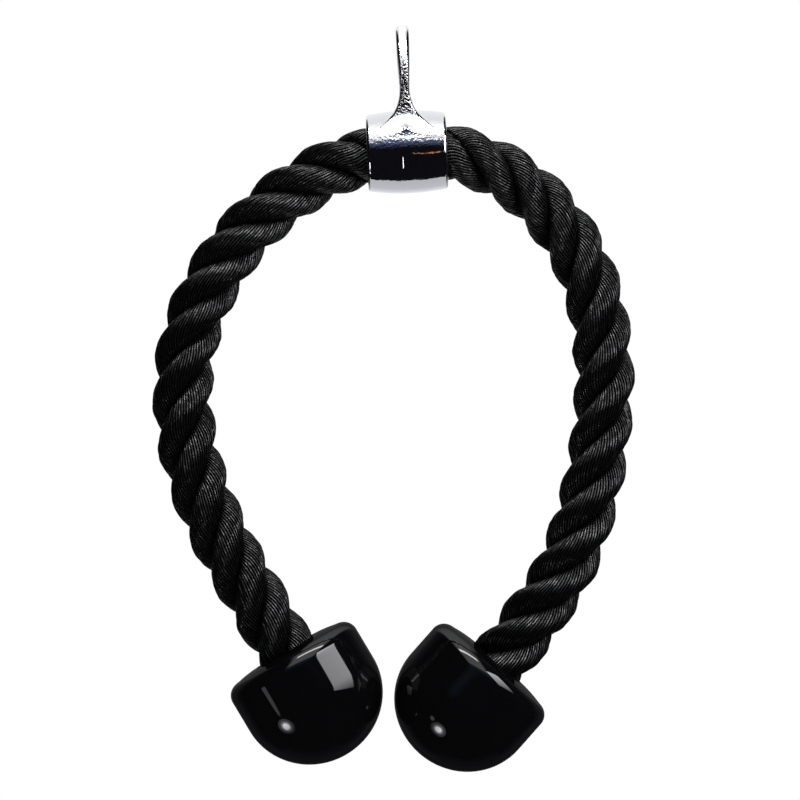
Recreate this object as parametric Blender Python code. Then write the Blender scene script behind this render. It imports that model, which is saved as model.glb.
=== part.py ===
"""Triceps rope attachment for a cable machine.

One length of three-strand rope passes through the collar of a cast hanging
eye, which is pressed tight on it, and carries a moulded ball on each end.
A steel ferrule on each rope end, inside the ball, keeps the ball on.

Lengths are in metres and +Z is up. The attachment hangs from its eye, so the
origin is the crown of the eye's hole, where the machine's snap hook bears.
The collar's axis runs along X, and both arms of the rope lie in the XZ plane.
"""

import math

import bmesh
import bpy
import numpy as np
from mathutils import Matrix, Vector

# Gap kept between solids that touch each other on the real object.
CLEARANCE = 0.0003

# Edges that turn more than this stay crisp, and the rest are shaded smooth.
SHARP_ANGLE = math.radians(40.0)

# Rope: three strands laid right-handed, round a centre that the strands fill.
# Its radius is taken over the strands' crowns where it leaves the collar, and
# it gets fuller towards the balls. The collar and the ferrules press it in.
# The bite is how far each strand is flattened against its neighbours.
ROPE_RADIUS = 0.0142
END_FULLNESS = 0.0010
PRESS_DEPTH = 0.0007
STRAND_BITE = 0.0024
PRESSED_STRAND_BITE = 0.0070
LAY_LENGTH = 0.068
LAY_PHASE = math.radians(47.0)
SWELL_LENGTH = 0.012
STRAND_COUNT = 3
SIDES_PER_STRAND = 6
RING_SPACING = 0.005

# The rope bows over the collar's middle, this much higher than at the mouths.
ROPE_BOW = 0.0015

# Centreline of each arm, from the rope's middle in the collar's mouth to the
# ball's mouth, as distances out along the collar's axis and down.
LEFT_ROUTE = (
    (0.0000, 0.0000), (0.0227, 0.0076), (0.0430, 0.0200), (0.0613, 0.0363),
    (0.0761, 0.0559), (0.0868, 0.0779), (0.0923, 0.1017), (0.0925, 0.1260),
    (0.0881, 0.1500), (0.0803, 0.1729), (0.0699, 0.1949), (0.0588, 0.2158),
    (0.0485, 0.2356),
)
RIGHT_ROUTE = (
    (0.0000, 0.0000), (0.0229, 0.0082), (0.0420, 0.0232), (0.0568, 0.0430),
    (0.0662, 0.0655), (0.0705, 0.0896), (0.0709, 0.1140), (0.0682, 0.1382),
    (0.0631, 0.1621), (0.0556, 0.1854), (0.0448, 0.2074), (0.0303, 0.2270),
    (0.0148, 0.2456),
)
ROUTE_SAMPLES_PER_SPAN = 24
TANGENT_REACH = 0.0005

# Places where each arm flexes, measured along the rope from the collar's mouth.
SPREAD_DISTANCE = 0.038
BEND_DISTANCE = 0.135

# Collar of the casting, a slight barrel that is fullest at its middle.
COLLAR_LENGTH = 0.0384
COLLAR_WALL = 0.0046
COLLAR_BELLY = 0.0014
COLLAR_RIM_ROUND = 0.0018
COLLAR_MOUTH_ROUND = 0.0012
COLLAR_SEGMENTS = 48
COLLAR_BARREL_STEPS = 6
ROUND_STEPS = 4

# Hanging eye of the casting: a ring that stands on the collar.
EYE_HOLE_RADIUS = 0.0120
EYE_RING_WIDTH = 0.0076
EYE_HEIGHT = 0.0410
EYE_CROWN_THICKNESS = 0.0068
EYE_NECK_THICKNESS = 0.0050
EYE_EDGE_ROUND = 0.0011
EYE_RING_STEPS = 26

# Web between the ring and the collar: hollowed at both sides, flared in front.
WEB_FILLET_RADIUS = 0.0180
WEB_BITE = 0.0003
WEB_FLARE_RADIUS = 0.0204
WEB_FLARE_DROP = 0.0130
WEB_FILLET_STEPS = 8
WEB_ROOT_STEPS = 10
WEB_FACE_STEPS = 7

# Punch mark in the collar's front, where it was pressed on the rope.
MARK_OFFSET = (-0.0020, -0.0061)
MARK_LENGTH = 0.0064
MARK_WIDTH = 0.0012
MARK_DEPTH = 0.0006
PUNCH_STANDOFF = 0.0006
MARK_SEGMENTS = 12

# Moulded ball on each rope end, measured down its own axis from its mouth.
BALL_RADIUS = 0.0345
BALL_HEIGHT = 0.0575
BALL_SKIRT = 0.0242
BALL_EDGE_ROUND = 0.0068
BALL_CROWN = 0.0014
BALL_MOUTH_ROUND = 0.0008
BALL_SEGMENTS = 40
BALL_DOME_STEPS = 10
LEFT_BALL_TILT = math.radians(-28.5)
RIGHT_BALL_TILT = math.radians(43.8)

# Ferrule pressed on the rope inside the ball.
FERRULE_DEPTH = 0.0140
FERRULE_LENGTH = 0.0140
FERRULE_WALL = 0.0026
FERRULE_EDGE_ROUND = 0.0006
FERRULE_SEGMENTS = 32
ROPE_TAIL_PAST_FERRULE = 0.0010

PRESSED_ROPE_RADIUS = ROPE_RADIUS - PRESS_DEPTH
COLLAR_BORE_RADIUS = PRESSED_ROPE_RADIUS + CLEARANCE
COLLAR_RADIUS = COLLAR_BORE_RADIUS + COLLAR_WALL
COLLAR_MIDDLE_RADIUS = COLLAR_RADIUS + COLLAR_BELLY
COLLAR_AXIS_Z = -(EYE_HOLE_RADIUS + EYE_HEIGHT)
BALL_MOUTH_RADIUS = ROPE_RADIUS + END_FULLNESS + CLEARANCE
FERRULE_BORE_RADIUS = PRESSED_ROPE_RADIUS + CLEARANCE
FERRULE_RADIUS = FERRULE_BORE_RADIUS + FERRULE_WALL
ROPE_TAIL = FERRULE_DEPTH + FERRULE_LENGTH + ROPE_TAIL_PAST_FERRULE


def remove_all_objects():
    """Empty the scene without closing the file."""
    for old in list(bpy.data.objects):
        bpy.data.objects.remove(old, do_unlink=True)


def make_material(name, colour, roughness, metallic):
    """A Principled material with one colour and finish."""
    material = bpy.data.materials.new(name)
    material.use_nodes = True
    shader = material.node_tree.nodes["Principled BSDF"]
    shader.inputs["Base Color"].default_value = (*colour, 1.0)
    shader.inputs["Roughness"].default_value = roughness
    shader.inputs["Metallic"].default_value = metallic
    return material


def add_pivot(name, place, parent=None):
    """An empty at a world place, which carries the pieces that turn about it."""
    pivot = bpy.data.objects.new(name, None)
    pivot.empty_display_size = ROPE_RADIUS
    bpy.context.scene.collection.objects.link(pivot)
    pivot.parent = parent
    pivot.location = Vector(place) - (parent_place(parent) if parent else Vector())
    return pivot


def parent_place(pivot):
    """World place of a pivot, as the sum of the offsets up its chain."""
    place = Vector(pivot.location)
    while pivot.parent:
        pivot = pivot.parent
        place += pivot.location
    return place


def add_piece(name, mesh, material, parent=None, place=(0.0, 0.0, 0.0), tilt=0.0):
    """A named object on its parent, at a world place and tilted about Y."""
    piece = bpy.data.objects.new(name, mesh)
    bpy.context.scene.collection.objects.link(piece)
    mesh.materials.clear()
    mesh.materials.append(material)
    piece.parent = parent
    piece.location = Vector(place) - (parent_place(parent) if parent else Vector())
    piece.rotation_euler = (0.0, tilt, 0.0)
    return piece


def skin(name, grid, close_rows=False, cap_ends=False, split_short=False):
    """A closed mesh over a grid of points, rows by columns by XYZ.

    Each row is a closed loop of points. The rows are joined in order, and
    then either the last is joined to the first or both end rows get a flat
    face. A row whose points all meet on an axis becomes one point. Twisted
    faces can be split along their shorter diagonal, which keeps them full.
    """
    rows, columns = grid.shape[:2]
    body = bmesh.new()
    corners = [[body.verts.new(point) for point in row] for row in grid.tolist()]
    for row in range(rows if close_rows else rows - 1):
        lower, upper = corners[row], corners[(row + 1) % rows]
        for column in range(columns):
            after = (column + 1) % columns
            body.faces.new((lower[column], lower[after], upper[after], upper[column]))
    if cap_ends:
        body.faces.new(corners[0])
        body.faces.new(corners[-1])
    bmesh.ops.remove_doubles(body, verts=body.verts, dist=1e-7)
    if split_short:
        bmesh.ops.triangulate(body, faces=body.faces, quad_method="SHORT_EDGE")
    bmesh.ops.recalc_face_normals(body, faces=body.faces)
    mesh = bpy.data.meshes.new(name)
    body.to_mesh(mesh)
    body.free()
    mesh.shade_smooth()
    mesh.set_sharp_from_angle(angle=SHARP_ANGLE)
    return mesh


def arc(centre, radius, start, stop, steps):
    """Points (along, across) on an arc about a centre, both ends included."""
    angles = np.radians(np.linspace(start, stop, steps + 1))
    return [(centre[0] + radius * math.cos(a), centre[1] + radius * math.sin(a)) for a in angles]


def turned(name, profile, segments, ring=False):
    """Turn a profile of (radius, height) points about Z.

    A ring's profile is a closed loop clear of the axis. Any other profile
    starts and ends on the axis.
    """
    profile = np.array(profile)
    angle = np.linspace(0.0, 2.0 * math.pi, segments, endpoint=False)
    radius, height = profile[:, :1], profile[:, 1:]
    grid = np.stack([radius * np.cos(angle), radius * np.sin(angle), height + 0.0 * angle], axis=-1)
    return skin(name, grid, close_rows=ring)


def clamped_curve(points, first_direction, last_direction):
    """A smooth curve through points, with the directions at its ends given.

    Each span is a cubic, and the slope and curvature match from span to
    span, as in a bent spline batten. Returns many points along it.
    """
    points = np.array(points)
    chords = np.linalg.norm(np.diff(points, axis=0), axis=1)
    knots = np.concatenate([[0.0], np.cumsum(chords)])
    count = len(points)
    system = np.eye(count)
    target = np.zeros((count, 2))
    target[0], target[-1] = first_direction, last_direction
    for i in range(1, count - 1):
        before, after = chords[i - 1], chords[i]
        system[i, i - 1:i + 2] = after, 2.0 * (before + after), before
        target[i] = 3.0 * (after / before * (points[i] - points[i - 1])
                           + before / after * (points[i + 1] - points[i]))
    slopes = np.linalg.solve(system, target)
    t = np.linspace(0.0, 1.0, ROUTE_SAMPLES_PER_SPAN, endpoint=False)[:, None]
    spans = []
    for i in range(count - 1):
        width = knots[i + 1] - knots[i]
        spans.append((1 + 2 * t) * (1 - t) ** 2 * points[i] + t * (1 - t) ** 2 * width * slopes[i]
                     + t * t * (3 - 2 * t) * points[i + 1] + t * t * (t - 1) * width * slopes[i + 1])
    return np.vstack([*spans, points[-1:]])


def arm_line(route, tilt, side):
    """World points of one arm's centreline, from the collar's mouth to the rope's end.

    Side is -1 for the left arm and 1 for the right. The rope leaves the
    collar along its bow, and past the route's last point it runs straight
    down the ball's axis.
    """
    bow_end = np.array([COLLAR_LENGTH / 2, 2.0 * ROPE_BOW])
    ball_axis = np.array([-side * math.sin(tilt), math.cos(tilt)])
    flat = clamped_curve(route, bow_end / np.linalg.norm(bow_end), ball_axis)
    flat = np.vstack([flat, flat[-1] + ROPE_TAIL * ball_axis])
    out, down = flat[:, 0], flat[:, 1]
    return np.stack([side * (COLLAR_LENGTH / 2 + out), 0.0 * out, COLLAR_AXIS_Z - ROPE_BOW - down], axis=1)


def bow_line():
    """World points of the centreline inside the collar, a shallow arch from left to right."""
    part = np.linspace(-1.0, 1.0, ROUTE_SAMPLES_PER_SPAN + 1)[1:-1]
    return np.stack([part * COLLAR_LENGTH / 2, 0.0 * part, COLLAR_AXIS_Z - ROPE_BOW * part ** 2], axis=1)


def smooth_step(value, start, stop):
    """0 before start, 1 after stop, and an even S between."""
    t = np.clip((value - start) / (stop - start), 0.0, 1.0)
    return t * t * (3.0 - 2.0 * t)


class Rope:
    """The whole rope's centreline, read by the distance from the collar's middle.

    The distance is negative towards the left ball and positive towards the right.
    """

    def __init__(self):
        left = arm_line(LEFT_ROUTE, LEFT_BALL_TILT, -1.0)[::-1]
        right = arm_line(RIGHT_ROUTE, RIGHT_BALL_TILT, 1.0)
        bow = bow_line()
        self.points = np.vstack([left, bow, right])
        steps = np.linalg.norm(np.diff(self.points, axis=0), axis=1)
        travelled = np.concatenate([[0.0], np.cumsum(steps)])
        left_exit, right_exit = travelled[len(left) - 1], travelled[len(left) + len(bow)]
        self.distance = travelled - (left_exit + right_exit) / 2
        self.half_in_collar = (right_exit - left_exit) / 2
        self.left_end, self.right_end = self.distance[0], self.distance[-1]
        self.left_ball_mouth = self.left_end + ROPE_TAIL
        self.right_ball_mouth = self.right_end - ROPE_TAIL

    def at(self, distance):
        """World point of the centreline."""
        return np.stack([np.interp(distance, self.distance, axis) for axis in self.points.T], axis=-1)

    def direction(self, distance):
        """Unit tangent, from left to right."""
        ahead = self.at(np.minimum(distance + TANGENT_REACH, self.right_end))
        behind = self.at(np.maximum(distance - TANGENT_REACH, self.left_end))
        tangent = ahead - behind
        return tangent / np.linalg.norm(tangent, axis=-1, keepdims=True)

    def pressed(self, distance):
        """How far the rope is squeezed: 1 in the collar and the ferrules, 0 where it is free."""
        past_collar = np.abs(distance) - self.half_in_collar
        in_collar = 1.0 - smooth_step(past_collar, 0.0, SWELL_LENGTH)
        depth = np.maximum(distance - self.right_ball_mouth, self.left_ball_mouth - distance)
        in_ferrule = smooth_step(depth, FERRULE_DEPTH - SWELL_LENGTH, FERRULE_DEPTH - CLEARANCE)
        return np.maximum(in_collar, in_ferrule)

    def free_radius(self, distance):
        """Radius over the crowns where nothing presses the rope, growing evenly along each arm."""
        ball_mouth = np.where(distance > 0.0, self.right_ball_mouth, -self.left_ball_mouth)
        part = (np.abs(distance) - self.half_in_collar) / (ball_mouth - self.half_in_collar)
        return ROPE_RADIUS + END_FULLNESS * np.clip(part, 0.0, 1.0)

    def stretch(self, name, start, stop):
        """One length of the rope as a closed solid.

        Its section is the outline of three round strands side by side, and
        it turns once in each lay length. The mesh's lines follow the strands.
        """
        rings = max(2, round((stop - start) / RING_SPACING) + 1)
        distance = np.linspace(start, stop, rings)
        centre, tangent = self.at(distance), self.direction(distance)
        across = np.cross((0.0, 1.0, 0.0), tangent)
        sides = STRAND_COUNT * SIDES_PER_STRAND
        turn = 2.0 * math.pi * np.arange(sides) / sides
        half_lobe = math.pi / STRAND_COUNT
        off_crown = (turn + half_lobe) % (2.0 * half_lobe) - half_lobe
        squeeze = self.pressed(distance)[:, None]
        free = self.free_radius(distance)[:, None]
        outer = free + squeeze * (PRESSED_ROPE_RADIUS - free)
        bite = STRAND_BITE + squeeze * (PRESSED_STRAND_BITE - STRAND_BITE)
        strand = (outer * math.sin(half_lobe) + bite) / (1.0 + math.sin(half_lobe))
        pitch = outer - strand
        radius = pitch * np.cos(off_crown) + np.sqrt(strand ** 2 - (pitch * np.sin(off_crown)) ** 2)
        angle = LAY_PHASE + 2.0 * math.pi * distance[:, None] / LAY_LENGTH + turn
        grid = (centre[:, None, :]
                + (radius * np.cos(angle))[..., None] * across[:, None, :]
                + (radius * np.sin(angle))[..., None] * np.array([0.0, 1.0, 0.0]))
        return skin(name, grid, cap_ends=True, split_short=True)


def collar_mesh():
    """The collar as a turned ring along X.

    Its rims are rounded and its mouths eased. Outside it is a barrel, and its
    bore opens towards both mouths as much as the rope bows.
    """
    end = COLLAR_LENGTH / 2
    rim, mouth = COLLAR_RIM_ROUND, COLLAR_MOUTH_ROUND
    mouth_radius = COLLAR_BORE_RADIUS + ROPE_BOW
    right = [*arc((end - rim, COLLAR_RADIUS - rim), rim, 90, 0, ROUND_STEPS),
             *arc((end - mouth, mouth_radius + mouth), mouth, 0, -90, ROUND_STEPS)]
    left = [(-x, radius) for x, radius in reversed(right)]
    part = np.linspace(1.0, -1.0, COLLAR_BARREL_STEPS + 1)[1:-1]
    bore = [(p * (end - mouth), COLLAR_BORE_RADIUS + ROPE_BOW * p ** 2) for p in part]
    barrel = [(p * (end - rim), COLLAR_RADIUS + COLLAR_BELLY * (1.0 - p ** 2)) for p in part[::-1]]
    profile = [(radius, x) for x, radius in right + bore + left + barrel]
    mesh = turned("collar", profile, COLLAR_SEGMENTS, ring=True)
    lay_on_x = np.array([[0.0, 0.0, 1.0], [0.0, 1.0, 0.0], [-1.0, 0.0, 0.0]])
    for corner in mesh.vertices:
        corner.co = Vector(lay_on_x @ np.array(corner.co)) + Vector((0.0, 0.0, COLLAR_AXIS_Z))
    return mesh


def eye_outline():
    """Side view of the ring and its web, as (y, height above the collar's axis).

    The ring's outer arc runs into a hollow fillet on each side, and the
    fillet runs into the collar. The outline closes inside the collar's wall.
    """
    ring_radius = EYE_HOLE_RADIUS + EYE_RING_WIDTH
    to_collar = COLLAR_MIDDLE_RADIUS + WEB_FILLET_RADIUS - WEB_BITE
    to_ring = ring_radius + WEB_FILLET_RADIUS
    lift = (to_collar ** 2 - to_ring ** 2 + EYE_HEIGHT ** 2) / (2.0 * EYE_HEIGHT)
    out = math.sqrt(to_collar ** 2 - lift ** 2)
    fillet_centre = (out, lift)
    ring_joint = math.degrees(math.atan2(lift - EYE_HEIGHT, out))
    collar_joint = math.degrees(math.atan2(-lift, -out)) % 360.0
    ring_side = arc((0.0, EYE_HEIGHT), ring_radius, 90.0, ring_joint, EYE_RING_STEPS // 2)
    fillet = arc(fillet_centre, WEB_FILLET_RADIUS, 180.0 + ring_joint, collar_joint, WEB_FILLET_STEPS)
    root_radius = COLLAR_RADIUS - COLLAR_WALL / 2
    foot = math.degrees(math.atan2(lift, out))
    root = arc((0.0, 0.0), root_radius, foot, 90.0, WEB_ROOT_STEPS // 2)
    right_half = ring_side + fillet[1:] + root
    left_half = [(-y, height) for y, height in reversed(right_half[1:-1])]
    return np.array(right_half + left_half)


def eye_half_thickness(height):
    """Half the casting's thickness along X at a height above the collar's axis.

    It thins evenly from the crown to the neck. Below the neck it flares
    along a circular arc.
    """
    crown = EYE_HEIGHT + EYE_HOLE_RADIUS + EYE_RING_WIDTH
    neck = EYE_HEIGHT - WEB_FLARE_DROP
    taper = np.clip((height - neck) / (crown - neck), 0.0, 1.0)
    straight = EYE_NECK_THICKNESS + taper * (EYE_CROWN_THICKNESS - EYE_NECK_THICKNESS)
    fall = np.clip(neck - height, 0.0, WEB_FLARE_RADIUS)
    return straight / 2 + WEB_FLARE_RADIUS - np.sqrt(WEB_FLARE_RADIUS ** 2 - fall ** 2)


def eye_mesh():
    """The ring and its web as one closed loft round the hole.

    Each row is one cut from the outline to the hole: over the rounded outer
    edge, across the front face, over the hole's edge, and back on the rear.
    """
    outline = eye_outline()
    ring_centre = np.array([0.0, EYE_HEIGHT])
    reach = np.linalg.norm(outline - ring_centre, axis=1)
    toward = (outline - ring_centre) / reach[:, None]
    edge = np.radians(np.linspace(0.0, 90.0, ROUND_STEPS // 2 + 1))
    inset = EYE_EDGE_ROUND * (1.0 - np.cos(edge))
    sink = EYE_EDGE_ROUND * (1.0 - np.sin(edge))
    face = np.linspace(0.0, 1.0, WEB_FACE_STEPS + 1)[1:-1]
    outer_face, inner_face = reach - EYE_EDGE_ROUND, EYE_HOLE_RADIUS + EYE_EDGE_ROUND
    cuts = [(reach - step, drop) for step, drop in zip(inset, sink)]
    cuts += [(outer_face + part * (inner_face - outer_face), 0.0) for part in face]
    cuts += [(EYE_HOLE_RADIUS + step, drop) for step, drop in zip(inset[::-1], sink[::-1])]
    front, rear = [], []
    for distance, drop in cuts:
        spot = ring_centre + toward * np.broadcast_to(distance, reach.shape)[:, None]
        half = eye_half_thickness(spot[:, 1]) - drop
        height = spot[:, 1] + COLLAR_AXIS_Z
        front.append(np.stack([half, spot[:, 0], height], axis=-1))
        rear.append(np.stack([-half, spot[:, 0], height], axis=-1))
    grid = np.stack(front + rear[::-1], axis=1)
    return skin("eye", grid, close_rows=True)


def punch_mesh():
    """An egg-shaped punch, whose belly leaves the mark in the collar."""
    along = np.linspace(-90.0, 90.0, MARK_SEGMENTS // 2 + 1)
    profile = [(math.cos(math.radians(a)), math.sin(math.radians(a))) for a in along]
    profile[0], profile[-1] = (0.0, -1.0), (0.0, 1.0)
    mesh = turned("punch", profile, MARK_SEGMENTS)
    for corner in mesh.vertices:
        corner.co.x *= MARK_WIDTH / 2
        corner.co.y *= PUNCH_STANDOFF + MARK_DEPTH
        corner.co.z *= MARK_LENGTH / 2
    return mesh


def add_tool(name, mesh, material):
    """A shape that only adds to or cuts another, so it isn't a piece itself."""
    tool = add_piece(name, mesh, material)
    tool.hide_render = True
    tool.display_type = "WIRE"
    return tool


def combine(piece, tool, operation):
    """Join a tool to a piece, or cut it out."""
    step = piece.modifiers.new(tool.name, "BOOLEAN")
    step.operation = operation
    step.solver = "EXACT"
    step.object = tool


def make_casting(chrome):
    """The collar, the eye that stands on it, and the punch mark in its front."""
    casting = add_piece("collar_eye", collar_mesh(), chrome)
    combine(casting, add_tool("eye_and_web", eye_mesh(), chrome), "UNION")
    punch = add_tool("punch_mark", punch_mesh(), chrome)
    mark_x, mark_z = MARK_OFFSET
    front = -math.sqrt(COLLAR_MIDDLE_RADIUS ** 2 - mark_z ** 2)
    punch.location = (mark_x, front - PUNCH_STANDOFF, COLLAR_AXIS_Z + mark_z)
    punch.rotation_euler = (math.asin(mark_z / COLLAR_MIDDLE_RADIUS), 0.0, 0.0)
    combine(casting, punch, "DIFFERENCE")


def ball_mesh():
    """The moulded ball, turned about Z with its mouth at the origin and its dome below.

    A slightly crowned top runs over a round edge into a straight skirt, and
    the skirt into a half-egg dome. Inside, a throat for the rope opens into
    a wider chamber, whose shoulder holds the ferrule back.
    """
    edge, lip = BALL_EDGE_ROUND, BALL_MOUTH_ROUND
    lip_radius, edge_radius = BALL_MOUTH_RADIUS + lip, BALL_RADIUS - edge
    crown_slope = math.degrees(math.atan(2.0 * BALL_CROWN / (edge_radius - lip_radius)))
    dome = [(BALL_RADIUS * math.sin(a), -BALL_SKIRT - (BALL_HEIGHT - BALL_SKIRT) * math.cos(a))
            for a in np.radians(np.linspace(0.0, 90.0, BALL_DOME_STEPS + 1))]
    edge_arc = arc((edge_radius, -BALL_CROWN - edge), edge, 0.0, 90.0 - crown_slope, ROUND_STEPS)
    crown = [(lip_radius + part * (edge_radius - lip_radius), -BALL_CROWN * part ** 2)
             for part in (0.75, 0.4)]
    lip_arc = arc((lip_radius, -lip), lip, 90.0, 180.0, ROUND_STEPS // 2)
    chamber_radius = FERRULE_RADIUS + CLEARANCE
    chamber_top = -FERRULE_DEPTH + CLEARANCE
    chamber_floor = -ROPE_TAIL - CLEARANCE
    inside = [(BALL_MOUTH_RADIUS, chamber_top), (chamber_radius, chamber_top),
              (chamber_radius, chamber_floor), (0.0, chamber_floor)]
    return turned("end_ball", dome + edge_arc + crown + lip_arc + inside, BALL_SEGMENTS)


def ferrule_mesh():
    """The steel band on the rope's end, turned about Z and placed by the ball's mouth."""
    top, bottom = -FERRULE_DEPTH, -FERRULE_DEPTH - FERRULE_LENGTH
    ease = FERRULE_EDGE_ROUND
    outer = [*arc((FERRULE_RADIUS - ease, bottom + ease), ease, -90.0, 0.0, 2),
             *arc((FERRULE_RADIUS - ease, top - ease), ease, 0.0, 90.0, 2)]
    bore = [(FERRULE_BORE_RADIUS, top), (FERRULE_BORE_RADIUS, bottom)]
    return turned("end_ferrule", outer + bore, FERRULE_SEGMENTS, ring=True)


def make_rope_stretch(rope, name, finish, pivot, start, stop):
    """One stretch of the rope, between two distances, on the pivot that carries it."""
    mesh = rope.stretch(name, min(start, stop), max(start, stop))
    place = parent_place(pivot)
    mesh.transform(Matrix.Translation(-place))
    add_piece(name, mesh, finish, pivot, place)


def make_arm(rope, side, name, ball, ferrule, rope_finish, ball_finish, steel):
    """One arm of the rope, with its ball and ferrule, on the three pivots where it flexes.

    Side is -1 for the left arm and 1 for the right.
    """
    mouth = side * rope.half_in_collar
    spread = mouth + side * SPREAD_DISTANCE
    bend = mouth + side * BEND_DISTANCE
    tilt = RIGHT_BALL_TILT if side > 0 else LEFT_BALL_TILT
    ball_mouth = rope.right_ball_mouth if side > 0 else rope.left_ball_mouth
    tail = rope.right_end if side > 0 else rope.left_end
    swing_pivot = add_pivot(name + "_swing_pivot", rope.at(mouth))
    spread_pivot = add_pivot(name + "_spread_pivot", rope.at(spread), swing_pivot)
    bend_pivot = add_pivot(name + "_bend_pivot", rope.at(bend), spread_pivot)
    gap = side * CLEARANCE / 2
    stem = "rope_" + name
    make_rope_stretch(rope, stem + "_root", rope_finish, swing_pivot, mouth + gap, spread - gap)
    make_rope_stretch(rope, stem + "_upper", rope_finish, spread_pivot, spread + gap, bend - gap)
    make_rope_stretch(rope, stem + "_lower", rope_finish, bend_pivot, bend + gap, tail)
    add_piece("end_ball_" + name, ball, ball_finish, bend_pivot, rope.at(ball_mouth), tilt)
    add_piece("end_ferrule_" + name, ferrule, steel, bend_pivot, rope.at(ball_mouth), tilt)


def main():
    """Build the attachment."""
    remove_all_objects()
    chrome = make_material("chrome", (0.78, 0.79, 0.81), 0.08, 1.0)
    black_nylon = make_material("black_nylon", (0.012, 0.012, 0.013), 0.55, 0.0)
    black_plastic = make_material("black_plastic", (0.010, 0.010, 0.011), 0.12, 0.0)
    plated_steel = make_material("plated_steel", (0.56, 0.57, 0.58), 0.35, 1.0)
    rope = Rope()
    make_casting(chrome)
    in_collar = rope.half_in_collar - CLEARANCE / 2
    core = rope.stretch("rope_in_collar", -in_collar, in_collar)
    add_piece("rope_in_collar", core, black_nylon)
    ball, ferrule = ball_mesh(), ferrule_mesh()
    for side, name in ((-1, "left"), (1, "right")):
        make_arm(rope, side, name, ball, ferrule, black_nylon, black_plastic, plated_steel)
    bpy.context.view_layer.update()


main()
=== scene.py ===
# %% [markdown]
# # A triceps rope attachment
#
# A cable machine pulls on this attachment through a cast eye. One thick
# three-strand rope runs through the eye's collar, and a moulded ball on each
# end stops the hands from slipping off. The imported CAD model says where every
# piece is and how it moves. This script gives each piece its full shape and
# its finish, and lights it like the photograph.
#
# Lengths are in metres, +Z is up, and the camera looks along +Y.

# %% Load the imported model
import math

import bpy
import numpy as np
from mathutils import Matrix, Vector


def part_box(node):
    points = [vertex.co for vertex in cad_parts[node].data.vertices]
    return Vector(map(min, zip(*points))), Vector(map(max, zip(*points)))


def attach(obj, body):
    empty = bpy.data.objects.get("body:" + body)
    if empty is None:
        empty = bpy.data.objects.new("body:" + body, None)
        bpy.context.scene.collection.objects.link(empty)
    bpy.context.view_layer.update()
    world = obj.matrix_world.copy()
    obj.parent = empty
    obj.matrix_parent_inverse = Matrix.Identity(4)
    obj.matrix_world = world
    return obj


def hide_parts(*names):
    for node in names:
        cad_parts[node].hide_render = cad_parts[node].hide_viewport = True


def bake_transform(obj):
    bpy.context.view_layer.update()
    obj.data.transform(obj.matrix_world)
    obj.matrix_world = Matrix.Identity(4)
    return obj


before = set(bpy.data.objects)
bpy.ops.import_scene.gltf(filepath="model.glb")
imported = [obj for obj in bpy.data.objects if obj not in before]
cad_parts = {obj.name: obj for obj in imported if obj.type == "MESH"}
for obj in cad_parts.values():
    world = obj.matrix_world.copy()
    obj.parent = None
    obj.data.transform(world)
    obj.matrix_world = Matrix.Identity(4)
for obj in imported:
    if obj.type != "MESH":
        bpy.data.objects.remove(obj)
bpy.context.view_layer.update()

# %% [markdown]
# ## Camera
#
# The photograph looks square on to the rope's loop from far away, so its
# perspective is slight. The attachment hangs 2.3 degrees askew in it. Turning
# the part would spoil its frame, so the camera rolls instead.

# %% Camera
CAMERA_DISTANCE = 1.8
PICTURE_PIXELS = 800
METRES_PER_PIXEL = 0.00048
SENSOR_MM = 36.0
CAMERA_ROLL = math.radians(2.3)
PICTURE_CENTRE = (-0.0081, 0.0, -0.1719)

lens = bpy.data.cameras.new("camera")
lens.sensor_width = SENSOR_MM
lens.lens = SENSOR_MM * CAMERA_DISTANCE / (PICTURE_PIXELS * METRES_PER_PIXEL)
camera = bpy.data.objects.new("camera", lens)
bpy.context.scene.collection.objects.link(camera)
bpy.context.scene.camera = camera

right = (math.cos(CAMERA_ROLL), 0.0, -math.sin(CAMERA_ROLL))
up = (math.sin(CAMERA_ROLL), 0.0, math.cos(CAMERA_ROLL))
back = (0.0, -1.0, 0.0)
camera.matrix_world = (
    Matrix.Translation((PICTURE_CENTRE[0], -CAMERA_DISTANCE, PICTURE_CENTRE[2]))
    @ Matrix((right, up, back)).transposed().to_4x4()
)
print("focal length, mm:", round(lens.lens, 2))

# %% [markdown]
# ## Node trees as arithmetic
#
# A finish is a small calculation that the renderer does at each point. Joining
# Math nodes by hand hides the formula, so a thin wrapper round a socket lets
# the script write it as an ordinary expression such as `1 - mask * depth`.
# One method adds every other kind of node.

# %% Shader expressions
class Value:
    """An output socket of a node. Arithmetic on it adds Math nodes to the same tree."""

    def __init__(self, tree, socket):
        self.tree = tree
        self.socket = socket

    def math(self, operation, *others, swap=False):
        """The value put through a Math node with the other operands, or after them if swapped."""
        operands = [*others, self] if swap else [self, *others]
        sockets = dict(enumerate(operands))
        return Tree(self.tree).add("ShaderNodeMath", {"operation": operation}, sockets)

    def __add__(self, other):
        return self.math("ADD", other)

    def __sub__(self, other):
        return self.math("SUBTRACT", other)

    def __rsub__(self, other):
        return self.math("SUBTRACT", other, swap=True)

    def __mul__(self, other):
        return self.math("MULTIPLY", other)

    def __truediv__(self, other):
        return self.math("DIVIDE", other)

    __radd__ = __add__
    __rmul__ = __mul__

    def above(self, level, width):
        """0 below the level and 1 above it, through an even ramp of the given width."""
        ramp = (self - level) / width + 0.5
        return ramp.math("MAXIMUM", 0.0).math("MINIMUM", 1.0)

    def between(self, levels, widths):
        """1 between two levels and 0 outside them, through a ramp of its own width at each."""
        return self.above(levels[0], widths[0]) * (1.0 - self.above(levels[1], widths[1]))


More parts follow.
